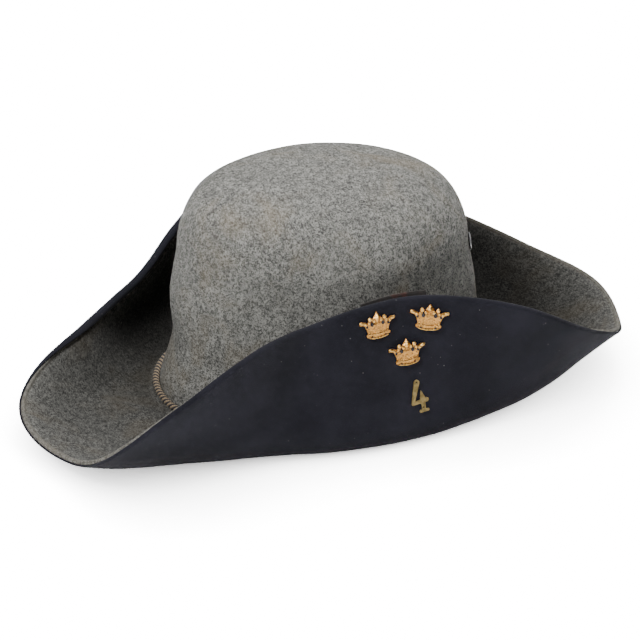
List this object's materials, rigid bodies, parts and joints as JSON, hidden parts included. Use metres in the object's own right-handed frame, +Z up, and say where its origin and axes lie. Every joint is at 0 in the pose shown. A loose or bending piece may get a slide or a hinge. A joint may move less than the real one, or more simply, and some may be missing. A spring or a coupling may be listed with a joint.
{
  "type": "felt cocked hat",
  "caption": "Grey felt cocked hat: tall round crown, wide brim turned up in a long flap on each side, dark cloth facing, twisted cord, small crown badges and a numeral.",
  "frame": {"origin": "under the middle of the hat's box, on the surface the hat rests on", "axes": "+X towards the raised corner, -Y towards the flap that carries the badges, +Z up"},
  "size_m": [0.4212, 0.2634, 0.1533],
  "materials": {
    "grey_felt": "mottled grey wool felt, matt, with fine loose fibres",
    "navy_cloth": "dark navy felted cloth with a short nap and specks of lint",
    "twisted_cord": "buff and dark strands twisted together",
    "gilt_brass": "cast, bright gilt with darker hollows",
    "flat_brass": "flat sheet, dull and lightly tarnished",
    "dark_eyelet": "black japanned, worn at the rim",
    "brown_patch": "thin dark brown leather, dry and rubbed"
  },
  "bodies": {
    "root": {"felt_body": "grey_felt", "brim_facing": "navy_cloth", "hat_cord": "twisted_cord", "crown_badge_left": "gilt_brass", "crown_badge_right": "gilt_brass", "crown_badge_low": "gilt_brass", "numeral_four": "flat_brass", "vent_eyelet": "dark_eyelet", "badge_backing": "brown_patch"}
  },
  "joints": []
}
